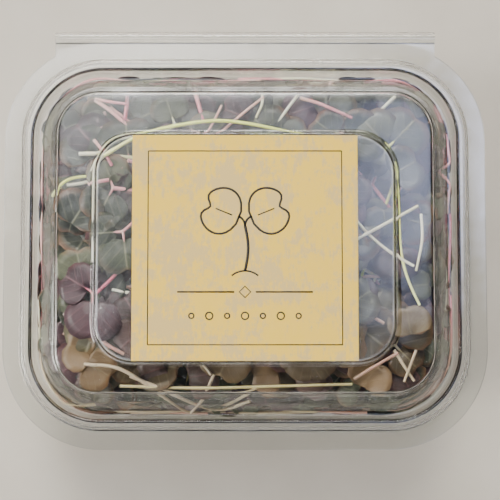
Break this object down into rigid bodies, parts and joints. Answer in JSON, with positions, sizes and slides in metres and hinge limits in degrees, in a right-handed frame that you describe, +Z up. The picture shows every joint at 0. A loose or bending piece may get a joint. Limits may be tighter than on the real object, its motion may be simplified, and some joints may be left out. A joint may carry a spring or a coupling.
{
  "type": "radish microgreens tray",
  "caption": "Clear hinged deli tray filled with cut radish seedlings, thin bowed stems with notched seed leaves, and a square paper label on its domed lid.",
  "frame": {"origin": "on the table, under the centre of the closed tray's whole outline with its hinge", "axes": "+Z up, +Y towards the hinge, +X to the right of someone facing the front edge"},
  "size_m": [0.1414, 0.1228, 0.0466],
  "materials": {
    "clear_plastic": "clear glossy thermoformed sheet",
    "kraft_paper": "uncoated kraft",
    "pink_stem": "moist plant stem",
    "cream_stem": "moist plant stem",
    "lime_stem": "moist plant stem",
    "green_leaf": "soft satin leaf",
    "purple_leaf": "soft satin leaf"
  },
  "bodies": {
    "tray": {"hinge_fold": "clear_plastic", "leaf_pair_01": "purple_leaf", "leaf_pair_02": "green_leaf", "leaf_pair_03": "green_leaf", "leaf_pair_04": "purple_leaf", "leaf_pair_05": "green_leaf", "leaf_pair_06": "green_leaf", "leaf_pair_07": "purple_leaf", "leaf_pair_08": "green_leaf", "leaf_pair_09": "green_leaf", "leaf_pair_10": "purple_leaf", "leaf_pair_11": "green_leaf", "leaf_pair_12": "green_leaf", "leaf_pair_13": "purple_leaf", "leaf_pair_14": "green_leaf", "leaf_pair_15": "green_leaf", "leaf_pair_16": "purple_leaf", "leaf_pair_17": "green_leaf", "leaf_pair_18": "green_leaf", "leaf_pair_19": "purple_leaf", "leaf_pair_20": "green_leaf", "leaf_pair_21": "green_leaf", "leaf_pair_22": "purple_leaf", "leaf_pair_23": "green_leaf", "leaf_pair_24": "green_leaf", "leaf_pair_25": "purple_leaf", "leaf_pair_26": "green_leaf", "leaf_pair_27": "green_leaf", "leaf_pair_28": "purple_leaf", "leaf_pair_29": "green_leaf", "leaf_pair_30": "green_leaf", "leaf_pair_31": "purple_leaf", "leaf_pair_32": "green_leaf", "leaf_pair_33": "green_leaf", "leaf_pair_34": "purple_leaf", "leaf_pair_35": "green_leaf", "leaf_pair_36": "green_leaf", "leaf_pair_37": "purple_leaf", "leaf_pair_38": "green_leaf", "leaf_pair_39": "green_leaf", "leaf_pair_40": "purple_leaf", "leaf_pair_41": "green_leaf", "leaf_pair_42": "green_leaf", "leaf_pair_43": "purple_leaf", "leaf_pair_44": "green_leaf", "stems_01": "pink_stem", "stems_02": "cream_stem", "stems_03": "pink_stem", "stems_04": "lime_stem", "stems_05": "pink_stem", "stems_06": "cream_stem", "stems_07": "pink_stem", "stems_08": "lime_stem", "stems_09": "pink_stem", "tray": "clear_plastic"},
    "lid": {"lid": "clear_plastic", "label": "kraft_paper"}
  },
  "joints": [
    {"name": "lid_hinge", "type": "hinge", "parent": "tray", "child": "lid", "pos_m": [0, 0.05978, 0.03115], "axis": [-1, 0, 0], "range_deg": [0, 170], "deforming": ["hinge_fold"]}
  ]
}
